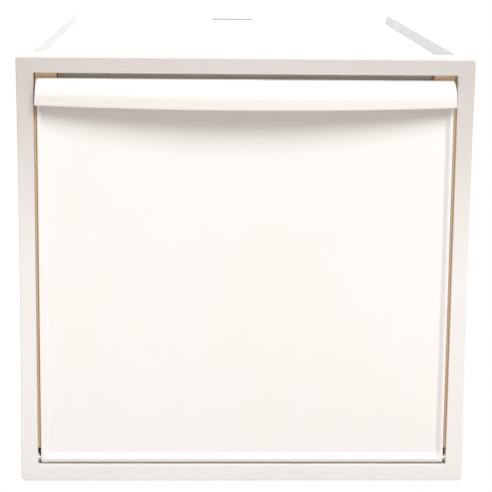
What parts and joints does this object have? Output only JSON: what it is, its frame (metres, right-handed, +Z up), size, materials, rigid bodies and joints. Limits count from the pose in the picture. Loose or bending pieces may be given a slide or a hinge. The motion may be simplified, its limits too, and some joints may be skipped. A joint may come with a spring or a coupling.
{
  "type": "storage box with drop-front flap",
  "caption": "White moulded plastic storage box with a framed front, recessed sides and a dished drop-front flap that has a full-width bowed pull lip.",
  "frame": {"origin": "middle of the whole box's footprint on its underside, with the pull lip counted in the depth", "axes": "+Z up, +Y from the front frame to the rear panel, +X to the right as seen from the front"},
  "size_m": [0.344, 0.5529, 0.33],
  "materials": {
    "case_plastic": "off-white moulded plastic, faint satin grain",
    "door_plastic": "white moulded plastic, semi-gloss with faint flow marks",
    "acetal": "natural white bearing plastic",
    "catch_plastic": "tan moulded plastic",
    "magnet": "dark sintered ferrite",
    "plated_steel": "zinc plated sheet and wire",
    "screw_steel": "bright zinc plated"
  },
  "bodies": {
    "case": {"case_shell": "case_plastic", "back_panel": "case_plastic", "back_screws": "screw_steel", "hinge_bush_left": "acetal", "hinge_bush_right": "acetal", "stay_guide_left": "acetal", "stay_guide_right": "acetal", "guide_screws": "screw_steel", "catch_housing_left": "catch_plastic", "catch_housing_right": "catch_plastic", "catch_magnet_left": "magnet", "catch_magnet_right": "magnet", "pole_plates_left": "plated_steel", "pole_plates_right": "plated_steel", "catch_screws": "screw_steel", "gap_strip_left": "catch_plastic", "gap_strip_right": "catch_plastic"},
    "flap": {"door_panel": "door_plastic", "door_liner": "door_plastic", "liner_screws": "screw_steel", "hinge_pin_left": "plated_steel", "hinge_pin_right": "plated_steel", "stay_left": "plated_steel", "stay_right": "plated_steel", "stay_screws": "screw_steel", "striker_left": "plated_steel", "striker_right": "plated_steel", "striker_rivets": "screw_steel"}
  },
  "joints": [
    {"name": "flap_hinge", "type": "hinge", "parent": "case", "child": "flap", "pos_m": [0, -0.2495, 0.0178], "axis": [1, 0, 0], "range_deg": [0, 82]}
  ]
}
